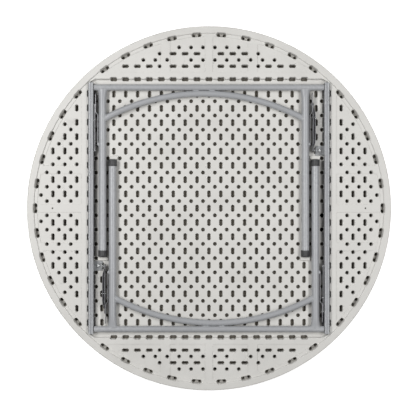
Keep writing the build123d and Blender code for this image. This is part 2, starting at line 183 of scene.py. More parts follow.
def make_pebble_grain():
    """Fine leathery pebble of a blasted mould, with a slow unevenness under it."""
    inputs = [("Place", "NodeSocketVector", None), ("Grain Size", "NodeSocketFloat", 700.0)]
    group, source, sink = new_group("pebble grain", inputs, [("Height", "NodeSocketFloat")])
    place = source.outputs["Place"]
    pebble = group.nodes.new("ShaderNodeTexVoronoi")
    pebble.feature = "SMOOTH_F1"
    group.links.new(place, pebble.inputs["Vector"])
    group.links.new(source.outputs["Grain Size"], pebble.inputs["Scale"])
    slow = noise_node(group, place, 40.0, 2.0)
    fine = math_node(group, "MULTIPLY", pebble.outputs["Distance"], -0.6)
    total = math_node(group, "ADD", fine, math_node(group, "MULTIPLY", slow, 0.8))
    group.links.new(total, sink.inputs["Height"])
    return group


def make_cloudy_tone():
    """Slow blotches with fine specks in them, for colour and roughness."""
    inputs = [
        ("Place", "NodeSocketVector", None),
        ("Cloud Size", "NodeSocketFloat", 6.0),
        ("Speck Size", "NodeSocketFloat", 260.0),
    ]
    outputs = [("Cloud", "NodeSocketFloat"), ("Speck", "NodeSocketFloat")]
    group, source, sink = new_group("cloudy tone", inputs, outputs)
    place = source.outputs["Place"]
    cloud = noise_node(group, place, source.outputs["Cloud Size"], 4.0, 0.6)
    speck = noise_node(group, place, source.outputs["Speck Size"], 1.0)
    group.links.new(range_node(group, cloud, 0.35, 0.65), sink.inputs["Cloud"])
    group.links.new(range_node(group, speck, 0.62, 0.72), sink.inputs["Speck"])
    return group


def make_edge_rub():
    """Where corners stand out and get rubbed, broken up by a noise."""
    inputs = [("Place", "NodeSocketVector", None), ("Rub Size", "NodeSocketFloat", 90.0)]
    group, source, sink = new_group("edge rub", inputs, [("Mask", "NodeSocketFloat")])
    shape = group.nodes.new("ShaderNodeNewGeometry")
    edge = range_node(group, shape.outputs["Pointiness"], 0.52, 0.60)
    broken = noise_node(group, source.outputs["Place"], source.outputs["Rub Size"], 3.0)
    mask = math_node(group, "MULTIPLY", edge, range_node(group, broken, 0.4, 0.6))
    group.links.new(mask, sink.inputs["Mask"])
    return group


def make_painted_pit_shade():
    """How far down in the moulding a point lies, from open to deep, as the mask of a painted shade
    in its pits.
    """
    inputs = [
        ("Place", "NodeSocketVector", None),
        ("Open Height", "NodeSocketFloat", 0.021),
        ("Deep Height", "NodeSocketFloat", 0.006),
    ]
    group, source, sink = new_group("painted pit shade", inputs, [("Depth", "NodeSocketFloat")])
    parts = group.nodes.new("ShaderNodeSeparateXYZ")
    group.links.new(source.outputs["Place"], parts.inputs["Vector"])
    node = group.nodes.new("ShaderNodeMapRange")
    group.links.new(parts.outputs["Z"], node.inputs["Value"])
    group.links.new(source.outputs["Open Height"], node.inputs["From Min"])
    group.links.new(source.outputs["Deep Height"], node.inputs["From Max"])
    above_face = range_node(group, parts.outputs["Z"], 0.002, 0.004)
    depth = math_node(group, "MULTIPLY", node.outputs["Result"], above_face)
    group.links.new(depth, sink.inputs["Depth"])
    return group


def make_drawn_lines():
    """Fine lines along one direction, as on drawn strip or wire."""
    inputs = [
        ("Place", "NodeSocketVector", None),
        ("Stretch", "NodeSocketVector", (900.0, 20.0, 900.0)),
    ]
    group, source, sink = new_group("drawn lines", inputs, [("Lines", "NodeSocketFloat")])
    scaled = group.nodes.new("ShaderNodeVectorMath")
    scaled.operation = "MULTIPLY"
    group.links.new(source.outputs["Place"], scaled.inputs[0])
    group.links.new(source.outputs["Stretch"], scaled.inputs[1])
    group.links.new(noise_node(group, scaled.outputs[0], 1.0, 3.0), sink.inputs["Lines"])
    return group


pebble_grain = make_pebble_grain()
cloudy_tone = make_cloudy_tone()
edge_rub = make_edge_rub()
painted_pit_shade = make_painted_pit_shade()
drawn_lines = make_drawn_lines()


def new_material(name, colour, rough, metal=0.0):
    """A material with its shader, its tree and the point in metres that its patterns read."""
    material = bpy.data.materials.new(name)
    material.use_nodes = True
    tree = material.node_tree
    shader = tree.nodes["Principled BSDF"]
    shader.inputs["Base Color"].default_value = (*colour, 1.0)
    shader.inputs["Roughness"].default_value = rough
    shader.inputs["Metallic"].default_value = metal
    place = tree.nodes.new("ShaderNodeTexCoord").outputs["Object"]
    return material, tree, shader, place


def use_group(tree, group, place, **values):
    node = tree.nodes.new("ShaderNodeGroup")
    node.node_tree = group
    tree.links.new(place, node.inputs["Place"])
    for label, value in values.items():
        node.inputs[label.replace("_", " ")].default_value = value
    return node.outputs


def add_bump(tree, shader, height, strength, distance):
    bump = tree.nodes.new("ShaderNodeBump")
    bump.inputs["Strength"].default_value = strength
    bump.inputs["Distance"].default_value = distance
    tree.links.new(height, bump.inputs["Height"])
    tree.links.new(bump.outputs["Normal"], shader.inputs["Normal"])


def make_moulded_top():
    """White plastic, slightly cloudy and specked, with a painted shade that darkens it down in its
    dimples.
    """
    name = "moulded white polyethylene"
    material, tree, shader, place = new_material(name, (0.58, 0.57, 0.54), 0.5)
    tone = use_group(tree, cloudy_tone, place)
    body = mix_colours(tree, tone["Cloud"], (0.555, 0.545, 0.52), (0.60, 0.59, 0.565))
    specks = math_node(tree, "MULTIPLY", tone["Speck"], 0.16)
    speckled = mix_colours(tree, specks, body, (0.34, 0.33, 0.31))
    # Painted shade: the colour darkens to a dark brown the deeper a point lies in the dimples,
    # slots and pockets.
    deep = use_group(tree, painted_pit_shade, place, Open_Height=0.021, Deep_Height=0.012)
    shade = math_node(tree, "MULTIPLY", deep["Depth"], 0.9)
    shaded = mix_colours(tree, shade, speckled, (0.10, 0.085, 0.06))
    tree.links.new(shaded, shader.inputs["Base Color"])
    rough = range_node(tree, tone["Cloud"], 0.0, 1.0, 0.44, 0.56)
    tree.links.new(rough, shader.inputs["Roughness"])
    grain = use_group(tree, pebble_grain, place, Grain_Size=750.0)
    add_bump(tree, shader, grain["Height"], 0.25, 0.0004)
    return material


def make_powder_coat(name, colour, rubbed):
    """Satin powder coat with a faint orange peel, paler where its corners are rubbed."""
    material, tree, shader, place = new_material(name, colour, 0.4)
    tone = use_group(tree, cloudy_tone, place, Cloud_Size=5.0, Speck_Size=420.0)
    darker = tuple(0.95 * value for value in colour)
    body = mix_colours(tree, tone["Cloud"], darker, colour)
    rub = use_group(tree, edge_rub, place)
    worn = mix_colours(tree, math_node(tree, "MULTIPLY", rub["Mask"], 0.5), body, rubbed)
    tree.links.new(worn, shader.inputs["Base Color"])
    rough = range_node(tree, tone["Cloud"], 0.0, 1.0, 0.26, 0.34)
    tree.links.new(rough, shader.inputs["Roughness"])
    peel = use_group(tree, pebble_grain, place, Grain_Size=420.0)
    add_bump(tree, shader, peel["Height"], 0.12, 0.0003)
    return material


def make_black_plastic(name, colour):
    """Dark moulded plastic, dusty and a little pale at its corners."""
    material, tree, shader, place = new_material(name, colour, 0.5)
    tone = use_group(tree, cloudy_tone, place, Cloud_Size=40.0, Speck_Size=500.0)
    dusty = tuple(0.07 + value for value in colour)
    body = mix_colours(tree, math_node(tree, "MULTIPLY", tone["Cloud"], 0.5), colour, dusty)
    rub = use_group(tree, edge_rub, place, Rub_Size=140.0)
    tree.links.new(mix_colours(tree, rub["Mask"], body, dusty), shader.inputs["Base Color"])
    rough = range_node(tree, tone["Cloud"], 0.0, 1.0, 0.42, 0.6)
    tree.links.new(rough, shader.inputs["Roughness"])
    grain = use_group(tree, pebble_grain, place, Grain_Size=1100.0)
    add_bump(tree, shader, grain["Height"], 0.2, 0.0003)
    return material


def make_zinc(name, colour, rough, stretch):
    """Zinc-plated steel with fine drawn lines."""
    material, tree, shader, place = new_material(name, colour, rough, 1.0)
    tone = use_group(tree, cloudy_tone, place, Cloud_Size=60.0, Speck_Size=600.0)
    lines = use_group(tree, drawn_lines, place, Stretch=stretch)
    dull = tuple(0.75 * value for value in colour)
    tree.links.new(mix_colours(tree, tone["Cloud"], dull, colour), shader.inputs["Base Color"])
    spread = range_node(tree, lines["Lines"], 0.3, 0.7, rough - 0.07, rough + 0.1)
    tree.links.new(spread, shader.inputs["Roughness"])
    add_bump(tree, shader, lines["Lines"], 0.08, 0.0002)
    return material


moulded_top = make_moulded_top()
grey_coat = make_powder_coat("grey powder coat", (0.335, 0.342, 0.355), (0.55, 0.56, 0.57))
bracket_coat = make_powder_coat("dark grey powder coat", (0.23, 0.235, 0.24), (0.42, 0.43, 0.44))
foot_plastic = make_black_plastic("foot cap plastic", (0.018, 0.018, 0.02))
bush_plastic = make_black_plastic("bush plastic", (0.02, 0.02, 0.02))
# The strip zinc is dull, and its colour is darkened further as a painted shade of the braces
# between the legs and the rails.
shade_darkened_zinc = make_zinc("dull zinc strip with painted shade", (0.24, 0.24, 0.25), 0.36, (900.0, 20.0, 900.0))
bright_zinc = make_zinc("bright zinc", (0.86, 0.87, 0.88), 0.2, (60.0, 900.0, 900.0))


# ---------------------------------------------------------------- mesh work
def make_object(name, points, faces):
    mesh = bpy.data.meshes.new(name)
    mesh.from_pydata([tuple(p) for p in points], [], faces)
    mesh.validate()
    obj = bpy.data.objects.new(name, mesh)
    bpy.context.scene.collection.objects.link(obj)
    return obj


def loft(points, faces, rings, closed=False):
    """Adds rings of equal count, joined in order, and capped or closed on themselves."""
    count = len(rings[0])
    start = len(points)
    for ring in rings:
        points.extend(ring)
    pairs = list(zip(range(len(rings)), range(1, len(rings))))
    if closed:
        pairs.append((len(rings) - 1, 0))
    for a, b in pairs:
        for k in range(count):
            n = (k + 1) % count
            near, far = start + a * count, start + b * count
            faces.append((near + k, near + n, far + n, far + k))
    if not closed:
        faces.append(tuple(start + k for k in reversed(range(count))))
        last = start + (len(rings) - 1) * count
        faces.append(tuple(last + k for k in range(count)))


def outward(obj):
    """Turns every face outward."""
    bm = bmesh.new()
    bm.from_mesh(obj.data)
    bmesh.ops.recalc_face_normals(bm, faces=bm.faces)
    bm.to_mesh(obj.data)
    bm.free()
    return obj


def apply_modifiers(obj):
    graph = bpy.context.evaluated_depsgraph_get()
    made = bpy.data.meshes.new_from_object(obj.evaluated_get(graph))
    old = obj.data
    obj.modifiers.clear()
    obj.data = made
    made.name = obj.name
    bpy.data.meshes.remove(old)


def shade(obj, angle=35.0, flat_area=40 * MM * MM):
    """Smooth shading with crisp corners, and even light across the larger flat faces."""
    bm = bmesh.new()
    bm.from_mesh(obj.data)
    limit = math.radians(angle)
    for face in bm.faces:
        face.smooth = True
    for edge in bm.edges:
        if len(edge.link_faces) != 2:
            continue
        turn = edge.calc_face_angle(0.0)
        wide = any(face.calc_area() > flat_area for face in edge.link_faces)
        edge.smooth = turn < limit and (not wide or turn < math.radians(1.5))
    bm.to_mesh(obj.data)
    bm.free()


def place_piece(obj, body, material, slot, *nodes):
    """Gives a finished piece its finish, its body and the CAD nodes it stands for."""
    obj.data.materials.clear()
    obj.data.materials.append(material)
    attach(obj, body)
    if nodes:
        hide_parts(*nodes)
    return obj


def ring_points(place, across, up, radius_a, radius_b, count, turn=0.0):
    """Ellipse about a place, in the plane of two directions."""
    ring = []
    for k in range(count):
        a = turn + TAU * k / count
        ring.append(place + across * (radius_a * math.cos(a)) + up * (radius_b * math.sin(a)))
    return ring


def sweep_tube(points, faces, path, radius, count, closed=False, reference=z_axis):
    """Round tube along a path that never follows the reference; one radius or one a point."""
    total = len(path)
    rings = []
    for k, place in enumerate(path):
        after = path[(k + 1) % total] if closed or k + 1 < total else place
        before = path[k - 1] if closed or k else place
        along = (after - before).normalized()
        across = along.cross(reference).normalized()
        lift = across.cross(along).normalized()
        size = radius[k] if isinstance(radius, list) else radius
        rings.append(ring_points(place, across, lift, size, size, count))
    loft(points, faces, rings, closed)


# ---------------------------------------------------------------- moulded top
def surface_height(x, y):
    """Height of the plain underside at a place inside the rim."""
    x, y = abs(x), abs(y)
    cut = (bay_x - x) / bay_cut[0] + (bay_y - y) / bay_cut[1]
    if x < bay_x and y < bay_y and cut > 1:
        return bay_floor
    if math.hypot(x, y) > top_radius - panel_reach:
        return band_height
    beside = x > bay_x + band_width
    beyond = y > bay_y + band_width
    if beside and y > cross_band and not side_band[0] < y < side_band[1]:
        return panel_height
    if beyond and x > end_cross_band and not end_band[0] < x < end_band[1]:
        return panel_height
    return band_height


def single_outline(grow):
    radius = single_radius + grow
    return [(radius * math.cos(TAU * k / 12), radius * math.sin(TAU * k / 12)) for k in range(12)]


def pair_outline(grow):
    """Two round dimples run together, one above the other, with a soft waist."""
    radius = pair_radius + grow
    points = []
    for sign in (1, -1):
        for k in range(9):
            a = math.radians(-24 + 228 * k / 8)
            y = pair_spread / 2 + radius * math.sin(a)
            points.append((sign * radius * math.cos(a), sign * y))
    return points


def wide_outline(grow):
    return [(-y, x) for x, y in pair_outline(grow)]


def notch_outline(grow):
    """Taller dimple that the rail covers half of."""
    scale = notch_radius - pair_radius
    return pair_outline(grow + scale)


def slot_end_outline(grow):
    """Round pit at one end of a rim slot, inside the slot's own walls."""
    return single_outline(grow + slot_end_radius - single_radius)


def slot_outline(grow):
    """Slot with round ends, long along Y."""
    radius = slot_size[1] / 2 + grow
    half = (slot_size[0] - slot_size[1]) / 2
    points = []
    for sign in (1, -1):
        for k in range(8):
            a = math.pi * k / 7
            points.append((sign * radius * math.cos(a), sign * (half + radius * math.sin(a))))
    return points


def cut_dimple(points, faces, outline, x, y, surface, turn=0.0, bottom=dimple_bottom):
    """Adds one cutter: a drafted pit with a rounded bottom and a flared mouth at the surface."""
    lean = -dimple_draft * (surface - bottom)
    top = rim_height + 6 * MM
    steps = (
        (bottom, lean - 1.3 * MM),
        (bottom + 1.3 * MM, lean),
        (surface - lip_flare, 0.0),
        (surface - lip_flare * 0.35, lip_flare * 0.35),
        (surface + 0.02 * MM, lip_flare),
        (top, lip_flare),
    )
    c, s = math.cos(turn), math.sin(turn)
    rings = []
    for z, grow in steps:
        ring = [Vector((x + c * px - s * py, y + s * px + c * py, z)) for px, py in outline(grow)]
        rings.append(ring)
    loft(points, faces, rings)


def grid(step, count, start=0.0):
    """Evenly spaced places on both sides of the middle."""
    places = [start + step * k for k in range(count)]
    return sorted({sign * place for place in places for sign in (-1, 1)})


def in_pattern(x, y):
    return math.hypot(x, y) <= dimple_limit


def side_dimples():
    """Dimples of the panels at the left and right."""
    made = []
    first = pitch[0] * (int(bay_x // pitch[0]) + 1)
    rows = int(top_radius // pitch[1])
    for x in grid(pitch[0], 4, first):
        for y in grid(pitch[1], rows, pitch[1]):
            if not in_pattern(x, y):
                continue
            if abs(abs(y) - side_band[1]) < pair_spread:
                made.append((single_outline, x, math.copysign(side_band[1] + 6 * MM, y)))
            else:
                made.append((pair_outline, x, y))
    for x in grid(pitch[0], 4, first + pitch[0] / 2):
        made += [(single_outline, x, y) for y in grid(pitch[1], rows, side_row) if in_pattern(x, y)]
    edge = math.sqrt(dimple_limit**2 - (first + pitch[0]) ** 2) + 3 * MM
    for sx in (-1, 1):
        for sy in (-1, 1):
            made.append((single_outline, sx * (first + pitch[0]), sy * edge))
            made.append((single_outline, sx * (dimple_limit + 5.5 * MM), sy * (pitch[1] - 5 * MM)))
    return [(outline, x + math.copysign(side_shift, x), y) for outline, x, y in made]


def end_dimples():
    """Dimples of the panels at both ends."""
    made = []
    for row in range(6):
        height = bay_y + end_row + row * end_row_step
        start = pitch[0] if row % 2 == 0 else pitch[0] / 2
        for x in grid(pitch[0], 12, start):
            if not in_pattern(x, height):
                continue
            outline = wide_outline if row % 2 == 0 else single_outline
            if row % 2 == 0 and abs(abs(x) - end_band[1]) < pair_spread:
                outline = single_outline
                x = math.copysign(end_band[1] + 4 * MM, x)
            made += [(outline, x, height), (outline, x, -height)]
    return made


def badge_distance(x, y):
    """How far a place lies from the nearer pad."""
    return min(math.hypot(x + sign * badge[0], y - sign * badge[1]) for sign in (-1, 1))


def stop_places():
    """Middle of the moulded stop beyond each foot."""
    places = []
    for end, sign in frames.items():
        for side in sides:
            foot_low, foot_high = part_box(f"{end}_{side}_foot")
            sole = foot_low.y if sign > 0 else foot_high.y
            y = sole - sign * (stop_gap + stop_size[1] / 2)
            places.append(((foot_low.x + foot_high.x) / 2, y))
    return places


stops = stop_places()
rail_rows = grid(pitch[1], int((hinge_y - pitch[1] / 4) // pitch[1]) + 1)


def clear_of_stops(x, y):
    half = (stop_size[0] / 2, stop_size[1] / 2)
    return all(abs(x - sx) > half[0] or abs(y - sy) > half[1] for sx, sy in stops)


def all_dimples():
    """Every dimple as (outline, x, y)."""
    columns = int(rail_inner // pitch[0])
    rows = int((hinge_y - pitch[1] / 4) // pitch[1])
    pair_x = grid(pitch[0], columns + 1)
    pair_y = grid(pitch[1], rows + 1)
    made = [(pair_outline, x, y) for x in pair_x for y in pair_y]
    half_x = grid(pitch[0], columns + 1, pitch[0] / 2)
    half_y = grid(pitch[1], rows + 1, pitch[1] / 2)
    made += [(single_outline, x, y) for x in half_x for y in half_y]
    made += side_dimples()
    for outline, x, y in end_dimples():
        if outline is wide_outline or badge_distance(x, y) > badge_radius:
            made.append((outline, x, y))
    return [d for d in made if clear_of_stops(*d[1:])]


def lathe(profile, count):
    """Closed body turned about Z from (radius, height) points, first and last on the axis."""
    points, faces, rings = [], [], []
    turns = [TAU * k / count for k in range(count)]
    for radius, z in profile[1:-1]:
        rings.append([Vector((radius * math.cos(a), radius * math.sin(a), z)) for a in turns])
    loft(points, faces, rings)
    return points, faces


def arc_steps(centre, radius, start, stop, count):
    """Points of an arc in a profile, in degrees."""
    angles = [math.radians(start + (stop - start) * k / (count - 1)) for k in range(count)]
    return [(centre[0] + radius * math.cos(a), centre[1] + radius * math.sin(a)) for a in angles]


def top_blank():
    """The turned disc: face, rim, crest and the step down to the underside."""
    edge = top_radius
    inner = edge - lip_width
    f, c, r = face_rounding, crest_rounding, lip_step_rounding
    profile = [(0.0, 0.0)]
    profile += arc_steps((edge - f, f), f, -90, 0, 7)
    profile += arc_steps((edge - c, rim_height - c), c, 0, 90, 6)
    profile += arc_steps((inner + r, rim_height - r), r, 90, 180, 5)
    profile += arc_steps((inner - r, band_height + r), r, 0, -90, 4)
    profile.append((0.0, band_height))
    points, faces = lathe(profile, 288)
    return outward(make_object("table_underside", points, faces))


def shifted(outline, grow):
    """Moves each side of a convex outline outward, or inward where grow is negative."""
    total = len(outline)
    lines = []
    for k in range(total):
        a, b = Vector(outline[k]), Vector(outline[(k + 1) % total])
        normal = Vector(((b - a).y, -(b - a).x)).normalized()
        lines.append((normal, normal.dot(a) + grow))
    moved = []
    for k in range(total):
        (n1, d1), (n2, d2) = lines[k - 1], lines[k]
        cross = n1.x * n2.y - n1.y * n2.x
        if abs(cross) < 1e-9:
            p = Vector(outline[k]) + n2 * grow
            moved.append((p.x, p.y))
        else:
            moved.append(((d1 * n2.y - d2 * n1.y) / cross, (n1.x * d2 - n2.x * d1) / cross))
    return moved


def rounded(outline, radius, steps=4):
    """Replaces each sharp corner of a convex outline with an arc."""
    total = len(outline)
    made = []
    for k in range(total):
        before, corner, after = (Vector(outline[(k + j) % total]) for j in (-1, 0, 1))
        a = (before - corner).normalized()
        b = (after - corner).normalized()
        half = a.angle(b) / 2
        if math.degrees(math.pi - 2 * half) < 15:
            made.append((corner.x, corner.y))
            continue
        back = radius / math.tan(half)
        centre = corner + (a + b).normalized() * (radius / math.sin(half))
        first = corner + a * back - centre
        last = corner + b * back - centre
        for j in range(steps + 1):
            p = centre + first.slerp(last, j / steps).normalized() * radius
            made.append((p.x, p.y))
    return made


def loft_outline(points, faces, outline, steps):
    """Adds a body with a convex outline, from (height, growth) steps."""
    loft(points, faces, [[Vector((*p, z)) for p in shifted(outline, grow)] for z, grow in steps])


def rectangle(start_x, end_x, start_y, end_y):
    return [(start_x, start_y), (end_x, start_y), (end_x, end_y), (start_x, end_y)]


def cut_tray(points, faces, outline, floor, surface, fillet, flare):
    """Adds a cutter that sinks a convex outline, with a rounded foot and a flared edge."""
    steps = (
        (floor, -fillet),
        (floor + 0.3 * fillet, -0.3 * fillet),
        (floor + fillet, 0.0),
        (surface - flare, 0.0),
        (surface - 0.3 * flare, 0.3 * flare),
        (surface + 0.02 * MM, flare),
        (rim_height + 4 * MM, flare),
    )
    loft_outline(points, faces, outline, steps)


def panel_outlines():
    """The sunk panels: four beside each side of the bay and four beyond each end."""
    reach = top_radius - panel_reach
    made = []
    start = bay_x + band_width
    for near, far in ((cross_band, side_band[0]), (side_band[1], math.sqrt(reach**2 - start**2))):
        outline = [(start, near)]
        first = math.asin(near / reach)
        last = math.asin(min(far / reach, 1.0))
        outline += [(reach * math.cos(a), reach * math.sin(a))
                    for a in (first + (last - first) * k / 16 for k in range(17))]
        if far < reach * math.sin(math.acos(start / reach)) - 1e-6:
            outline.append((start, far))
        made.append(outline)
    start = bay_y + band_width
    for near, far in ((end_cross_band, end_band[0]), (end_band[1], math.sqrt(reach**2 - start**2))):
        last = math.acos(near / reach)
        first = math.acos(min(far / reach, 1.0))
        outline = [(near, start)]
        if far < reach * math.cos(math.asin(start / reach)) - 1e-6:
            outline.append((far, start))
        outline += [(reach * math.cos(a), reach * math.sin(a))
                    for a in (first + (last - first) * k / 16 for k in range(17))]
        made.append(outline)
    mirrored = []
    for outline in made:
        for sx in (1, -1):
            for sy in (1, -1):
                turned = [(sx * x, sy * y) for x, y in outline]
                mirrored.append(turned if sx * sy > 0 else turned[::-1])
    return mirrored


def cut_with(obj, points, faces, operation="DIFFERENCE"):
    """Joins or cuts a piece with a closed mesh of cutters."""
    cutter = outward(make_object("cutter", points, faces))
    boolean = obj.modifiers.new("cut", "BOOLEAN")
    boolean.operation = operation
    boolean.solver = "MANIFOLD"
    boolean.object = cutter
    apply_modifiers(obj)
    old = cutter.data
    bpy.data.objects.remove(cutter)
    bpy.data.meshes.remove(old)


def split_flats(obj):
    """Divides the wide flat faces of the underside along lines between the rows of dimples."""
    bm = bmesh.new()
    bm.from_mesh(obj.data)
    for axis, step in ((x_axis, pitch[0]), (y_axis, pitch[1])):
        for place in grid(step, int(top_radius // step) + 1, step / 4):
            flats = [f for f in bm.faces if f.normal.z > 0.999 and f.calc_area() > 1000 * MM * MM]
            parts = set(flats)
            for face in flats:
                parts.update(face.edges)
                parts.update(face.verts)
            bmesh.ops.bisect_plane(bm, geom=list(parts), plane_co=axis * place, plane_no=axis)
    bm.to_mesh(obj.data)
    bm.free()


def make_table_underside():
    """The whole moulding: blank, panels, bay, pads, stops, slots, notches, dimples and pockets."""
    top = top_blank()
    points, faces = [], []
    for outline in panel_outlines():
        outline = rounded(outline, 5 * MM)
        cut_tray(points, faces, outline, panel_height, band_height, panel_edge, panel_edge)
    corner = (bay_x - bay_cut[0], bay_y - bay_cut[1])
    bay = [(bay_x, -corner[1]), (bay_x, corner[1]), (corner[0], bay_y), (-corner[0], bay_y)]
    bay += [(-x, -y) for x, y in bay]
    cut_tray(points, faces, rounded(bay, 6 * MM), bay_floor, band_height, 3 * MM, 2.5 * MM)
    cut_with(top, points, faces)
    add_badges_and_stops(top)
    cut_slots_and_notches(top)
    split_flats(top)
    points, faces = [], []
    for outline, x, y in all_dimples():
        cut_dimple(points, faces, outline, x, y, surface_height(x, y))
    half = (slot_size[0] - slot_size[1]) / 2
    for x, y, turn in slot_places():
        for sign in (-1, 1):
            place = (x - sign * half * math.sin(turn), y + sign * half * math.cos(turn))
            cut_dimple(points, faces, slot_end_outline, *place, slot_saddle, turn)
    for x in grid(pitch[0], int(rail_inner // pitch[0])):
        for y in (-bay_y, bay_y):
            cut_dimple(points, faces, wide_outline, x, y, bay_floor)
    add_rail_pockets(points, faces)
    cut_with(top, points, faces)
    shade(top, 38.0)
    return place_piece(top, "top_assembly", moulded_top, "moulded_top", "table_top")


def loft_round(points, faces, x, y, radius, steps, count):
    """Adds an upright round body, from (height, growth) steps."""
    rings = []
    for z, grow in steps:
        size = radius + grow
        rings.append(ring_points(Vector((x, y, z)), x_axis, y_axis, size, size, count))
    loft(points, faces, rings)


def add_badges_and_stops(top):
    """The blank pads of the end panels, and the blocks that the feet lie against."""
    points, faces = [], []
    crest = badge_height - 0.6 * MM
    steps = ((panel_height - 2 * MM, 0), (crest, 0), (badge_height, -0.6 * MM))
    for sign in (-1, 1):
        loft_round(points, faces, -sign * badge[0], sign * badge[1], badge_radius, steps, 40)
    half = (stop_size[0] / 2, stop_size[1] / 2)
    for x, y in stops:
        corners = rectangle(x - half[0], x + half[0], y - half[1], y + half[1])
        steps = (
            (bay_floor - 2 * MM, 1.5 * MM),
            (bay_floor + 1.5 * MM, 0.6 * MM),
            (stop_height - 1.5 * MM, -0.4 * MM),
            (stop_height - 0.4 * MM, -0.9 * MM),
            (stop_height, -2 * MM),
        )
        loft_outline(points, faces, rounded(corners, 4 * MM), steps)
    cut_with(top, points, faces, "UNION")


def slot_places():
    """Middle and turn of each slot round the rim."""
    radius = top_radius - slot_inset
    places = []
    for centre, count in slot_groups:
        for k in range(count):
            a = math.radians(centre) + (k - (count - 1) / 2) * slot_step
            places.append((radius * math.cos(a), radius * math.sin(a), a))
    return places


def add_rail_pockets(points, faces):
    """Moulded pockets under the rails, and the small blow-pin holes."""
    inner = rail_inner - pocket_reach
    steps = (
        (dimple_bottom, -1.5 * MM),
        (dimple_bottom + 2 * MM, -0.6 * MM),
        (bay_floor - 1.2 * MM, 0.0),
        (bay_floor + 0.02 * MM, 1.2 * MM),
        (bay_floor + 1 * MM, 1.2 * MM),
    )
    for side in (-1, 1):
        for y in rail_rows:
            xs = sorted((side * inner, side * rail_outer))
            corners = rectangle(*xs, y - pocket_half, y + pocket_half)
            loft_outline(points, faces, rounded(corners, 3 * MM), steps)
    mouth = band_height - 0.8 * MM
    steps = ((band_height - 12 * MM, 0), (mouth, 0), (band_height + 1 * MM, 1.2 * MM))
    for side in (-1, 1):
        loft_round(points, faces, side * vent_place, 0, vent_radius, steps, 20)


def cut_slots_and_notches(top):
    """The slots round the rim, and the notches between each rail and the side of the bay."""
    points, faces = [], []
    for x, y, turn in slot_places():
        cut_dimple(points, faces, slot_outline, x, y, band_height, turn, slot_saddle)
    for side in (-1, 1):
        for y in rail_rows:
            cut_dimple(points, faces, notch_outline, side * (rail_outer - 0.5 * MM), y, bay_floor)
    cut_with(top, points, faces)


make_table_underside()

# ---------------------------------------------------------------- leg frames
leg_flare = 19.2 * MM  # half width of a leg's pressed end
leg_press = 11.6 * MM  # half height of the pressed end
tube_wall = 1.4 * MM
arch_foot = 126 * MM  # hinge axis to where the arch meets the legs
foot_ribs = 9
rib_depth = 0.9 * MM  # grooves between a foot cap's ribs
leg_weld = 2.1 * MM
arch_weld = 1.9 * MM
crown_weld = (26 * MM, 2.6 * MM)  # length and radius of the short beads at the arch's crown
crown_weld_place = (34 * MM, 3.2 * MM)  # from the middle of the arch, and from the tubes' axes
rail_wall = 1.5 * MM
rail_bend = 3.4 * MM
rail_groove = 2 * MM
arch_gap = 0.3 * MM


def box_middle(node):
    """Middle and half size of a node's box."""
    a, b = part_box(node)
    return (a + b) / 2, (b - a) / 2


def finish_piece(name, points, faces, body, material, slot_name, nodes, angle=35.0):
    """Makes a piece from its points and faces, with its shading, finish, body and CAD nodes."""
    obj = outward(make_object(name, points, faces))
    shade(obj, angle)
    return place_piece(obj, body, material, slot_name, *nodes)


def finish_painted(name, points, faces, body, *nodes):
    return finish_piece(name, points, faces, body, grey_coat, "painted_steel", nodes)


def finish_weld(name, points, faces, body):
    return finish_piece(name, points, faces, body, grey_coat, "painted_steel", [], 60)


def soft_noise(a, b):
    """Small steady unevenness between -1 and 1, for hand-laid welds."""
    slow = 0.5 * math.sin(7.0 * a + 3.1 * b)
    return slow + 0.3 * math.sin(13.0 * a - 1.7 * b) + 0.2 * math.sin(23.0 * a + b)


def add_bead(points, faces, path, radius, seed, closed):
    """Weld bead along a path, a little uneven, tapered at its ends if it is open."""
    total = len(path)
    sizes = []
    for k in range(total):
        size = radius * (1 + 0.16 * soft_noise(TAU * k / total * 3, seed))
        if not closed:
            size *= min(1.0, 0.25 + 3.0 * min(k, total - 1 - k) / total)
        sizes.append(size)
    sweep_tube(points, faces, path, sizes, 10, closed, y_axis if closed else z_axis)


def make_leg(end, side, sign):
    """Tube with its end pressed flatter and wider onto the hinge tube, and the weld round it."""
    name = f"{end}_{side}"
    middle, half = box_middle(f"{name}_leg")
    radius = half.x
    start = middle.y - sign * half.y
    spread = ((70, 0.0), (52, 0.07), (34, 0.3), (22, 0.62))  # back from the hinge, press
    points, faces, rings = [], [], []
    stations = [(start, 0.0)] + [(sign * (hinge_y - back * MM), share) for back, share in spread]
    stations += [(sign * (hinge_y - hinge_radius), 1.0), (sign * (hinge_y - 4 * MM), 1.0)]
    for y, share in stations:
        wide = radius + (leg_flare - radius) * share
        tall = radius + (leg_press - radius) * share
        rings.append(ring_points(Vector((middle.x, y, hinge_z)), x_axis, z_axis, wide, tall, 40))
    loft(points, faces, rings)
    finish_painted(f"{name}_leg_tube", points, faces, f"{end}_leg_frame", f"{name}_leg")
    path = []
    for k in range(56):
        a = TAU * k / 56
        z = leg_press * math.sin(a)
        y = math.sqrt(hinge_radius**2 - z**2) + 0.4 * MM
        path.append(Vector((middle.x + leg_flare * math.cos(a), sign * (hinge_y - y), hinge_z + z)))
    points, faces = [], []
    add_bead(points, faces, path, leg_weld, middle.x * 40, True)
    finish_weld(f"{name}_leg_weld", points, faces, f"{end}_leg_frame")


